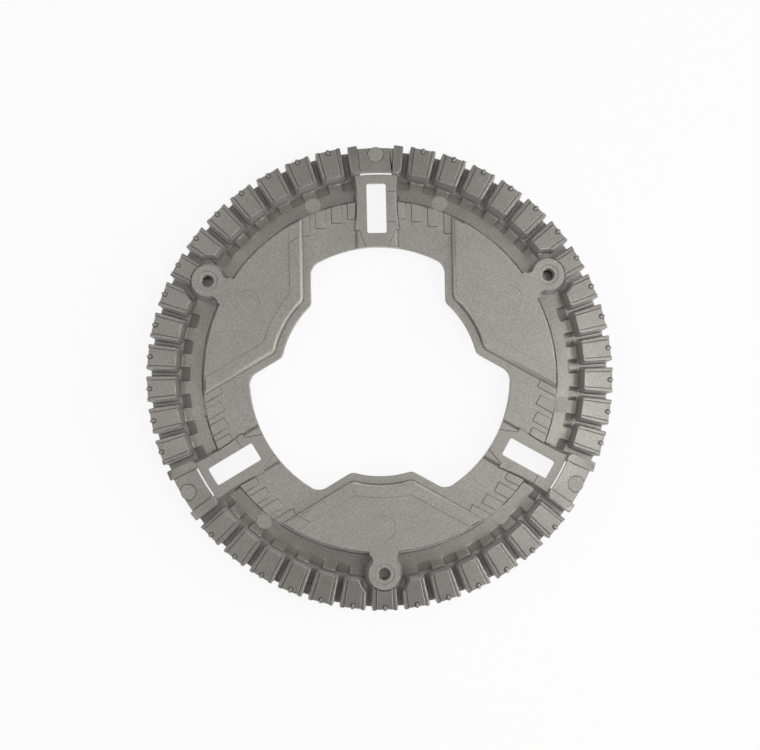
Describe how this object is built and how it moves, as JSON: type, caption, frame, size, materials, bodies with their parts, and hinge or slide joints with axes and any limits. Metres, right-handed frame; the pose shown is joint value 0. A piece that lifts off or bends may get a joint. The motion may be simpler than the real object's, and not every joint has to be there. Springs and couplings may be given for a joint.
{
  "type": "gas burner head",
  "caption": "Cast aluminium gas burner ring, port side up: radial flame teeth round a gas channel, raised plates with screw bosses, slotted bridges and an open centre.",
  "frame": {"origin": "on the ring's axis, in the plane of the flat rim that it rests on", "axes": "+Z along the ring's axis, towards the port side; +Y through the middle of one bridge"},
  "size_m": [0.1298, 0.1297, 0.0104],
  "materials": {
    "cast_aluminium": "as cast, fine matt grain, lighter along the rubbed edges"
  },
  "bodies": {
    "root": {"burner_ring": "cast_aluminium"}
  },
  "joints": []
}
